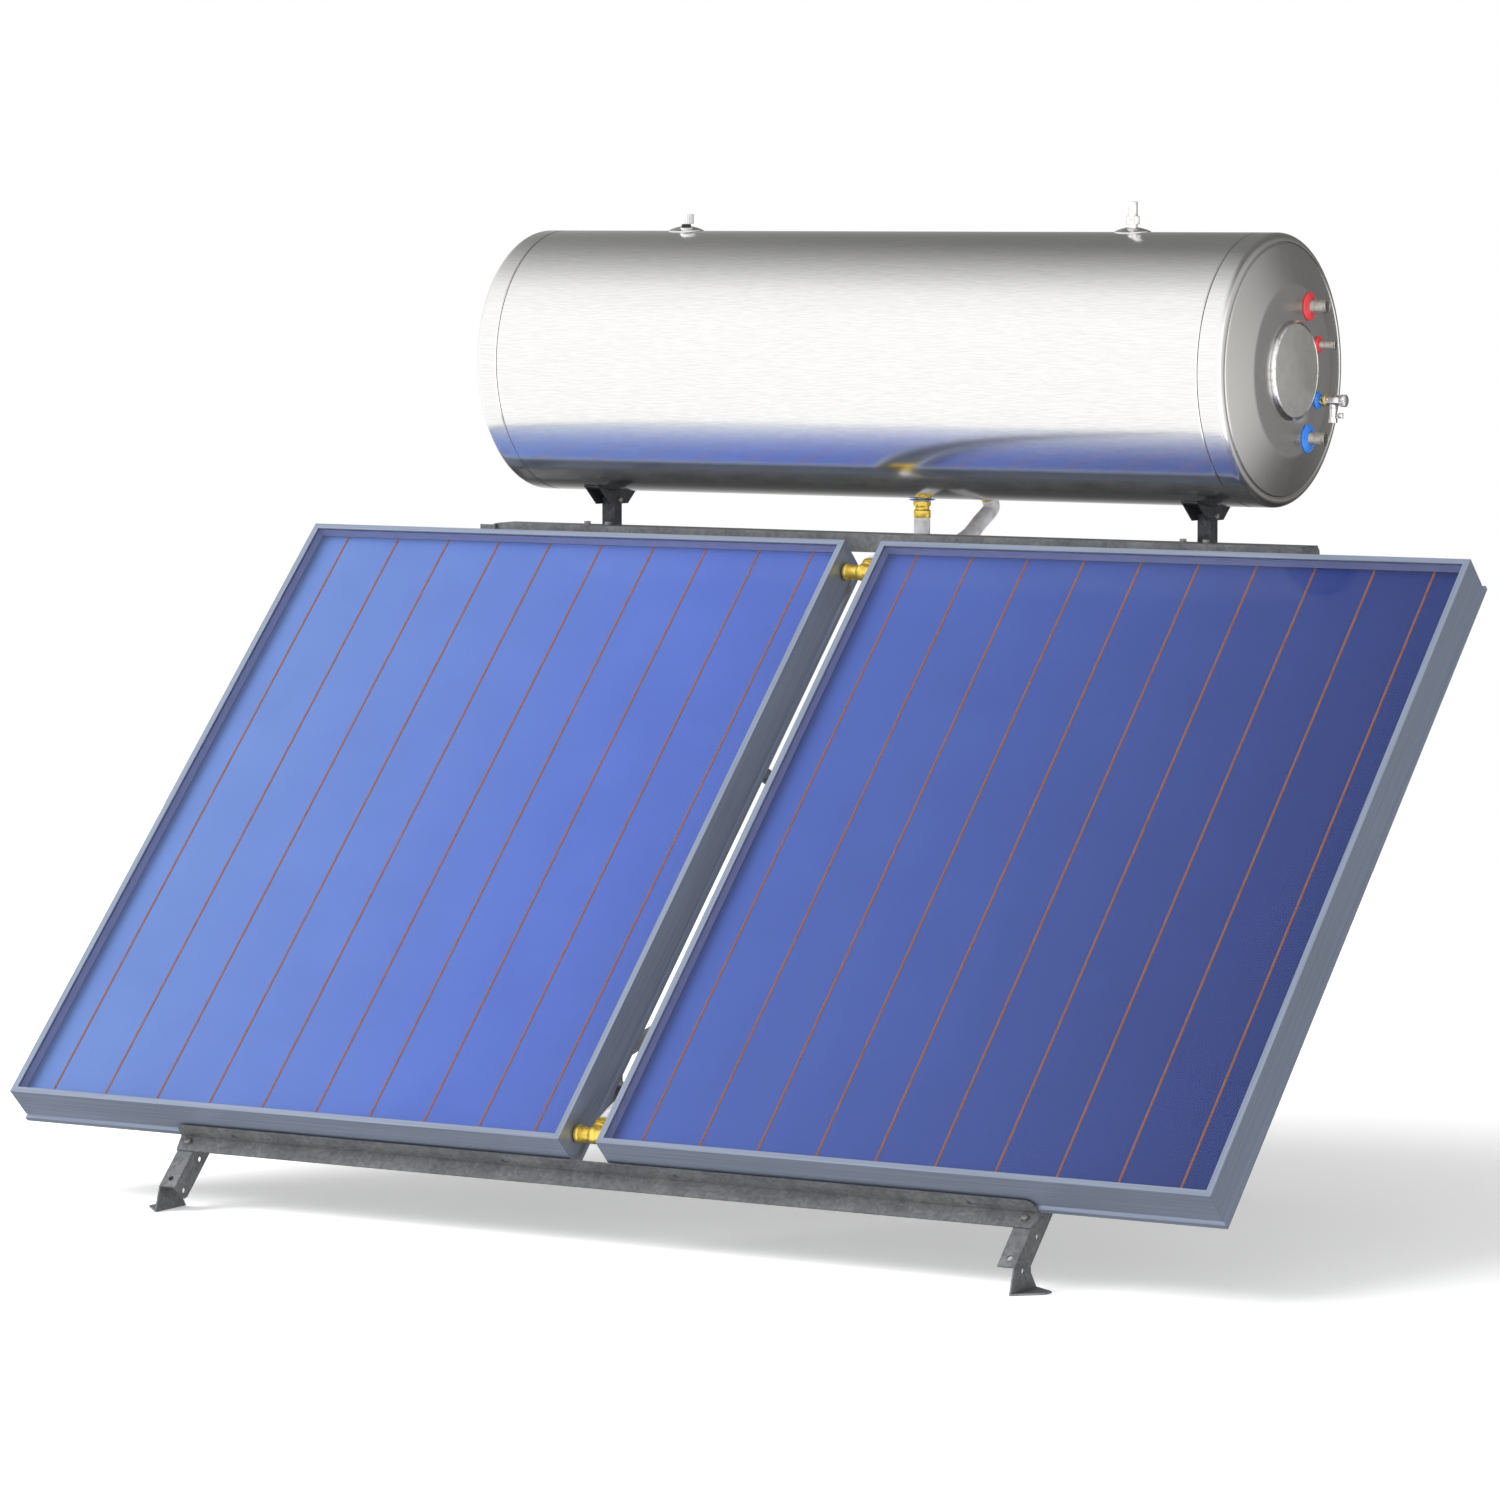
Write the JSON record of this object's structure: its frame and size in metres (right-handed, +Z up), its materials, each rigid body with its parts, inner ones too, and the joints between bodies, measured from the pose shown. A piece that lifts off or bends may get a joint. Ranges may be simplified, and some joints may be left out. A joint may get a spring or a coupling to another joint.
{
  "type": "solar water heater",
  "caption": "Thermosiphon solar water heater: flat-plate collectors on a sloping steel stand, with a horizontal storage tank above them.",
  "frame": {"origin": "on the ground, under the middle of the bounding box", "axes": "+X along the tank towards its ported end, -Y towards the sun and the low edge of the collectors, +Z up"},
  "size_m": [2.547, 1.4586, 1.8685],
  "materials": {
    "collector_frame": "satin",
    "cover_glass": "polished",
    "absorber": "satin",
    "mineral_wool": "matte",
    "back_sheet": "satin",
    "copper": "satin",
    "brass": "satin",
    "galvanised_steel": "matte",
    "saddle_steel": "matte",
    "stainless": "polished",
    "enamelled_steel": "gloss",
    "foam": "matte",
    "steel": "satin",
    "magnesium": "matte",
    "cover_grey": "satin",
    "red_plastic": "gloss",
    "blue_plastic": "gloss",
    "chrome": "polished",
    "white_plastic": "matte",
    "pipe_insulation": "matte"
  },
  "bodies": {
    "heater": {"left_frame_bottom": "collector_frame", "left_frame_top": "collector_frame", "left_frame_right": "collector_frame", "left_frame_left": "collector_frame", "left_glass": "cover_glass", "left_absorber": "absorber", "left_insulation": "mineral_wool", "left_back_sheet": "back_sheet", "left_riser_harp": "copper", "right_frame_bottom": "collector_frame", "right_frame_top": "collector_frame", "right_frame_right": "collector_frame", "right_frame_left": "collector_frame", "right_glass": "cover_glass", "right_absorber": "absorber", "right_insulation": "mineral_wool", "right_back_sheet": "back_sheet", "right_riser_harp": "copper", "upper_tee": "brass", "lower_tee": "brass", "left_side_rail": "galvanised_steel", "right_side_rail": "galvanised_steel", "lower_cross_rail": "galvanised_steel", "upper_cross_rail": "galvanised_steel", "left_rear_leg": "galvanised_steel", "right_rear_leg": "galvanised_steel", "front_cross_brace": "galvanised_steel", "rear_cross_brace": "galvanised_steel", "left_stay": "galvanised_steel", "right_stay": "galvanised_steel", "left_saddle": "saddle_steel", "right_saddle": "saddle_steel", "tank_jacket": "stainless", "left_end_cap": "stainless", "right_end_cap": "stainless", "inner_vessel": "enamelled_steel", "tank_insulation": "foam", "service_flange": "steel", "heating_element": "steel", "anode_rod": "magnesium", "service_cover": "cover_grey", "hot_outlet_rosette": "red_plastic", "hot_loop_rosette": "red_plastic", "cold_inlet_rosette": "blue_plastic", "cold_loop_rosette": "blue_plastic", "hot_outlet_nipple": "steel", "hot_loop_nipple": "steel", "cold_inlet_nipple": "steel", "safety_valve": "chrome", "vent_fitting": "steel", "relief_fitting": "steel", "cold_union": "brass", "hot_union": "brass", "cold_union_rosette": "blue_plastic", "cold_pipe": "pipe_insulation", "hot_pipe": "pipe_insulation"},
    "test_knob": {"test_knob": "chrome"},
    "vent_cap": {"vent_cap": "white_plastic"}
  },
  "joints": [
    {"name": "test_knob_turn", "type": "hinge", "parent": "heater", "child": "test_knob", "pos_m": [0.8756, 0.57775, 1.47], "axis": [1, 0, 0], "range_deg": [0, 90]},
    {"name": "vent_cap_turn", "type": "hinge", "parent": "heater", "child": "vent_cap", "pos_m": [-0.487, 0.47375, 1.83], "axis": [0, 0, 1], "range_deg": [0, 360]}
  ]
}
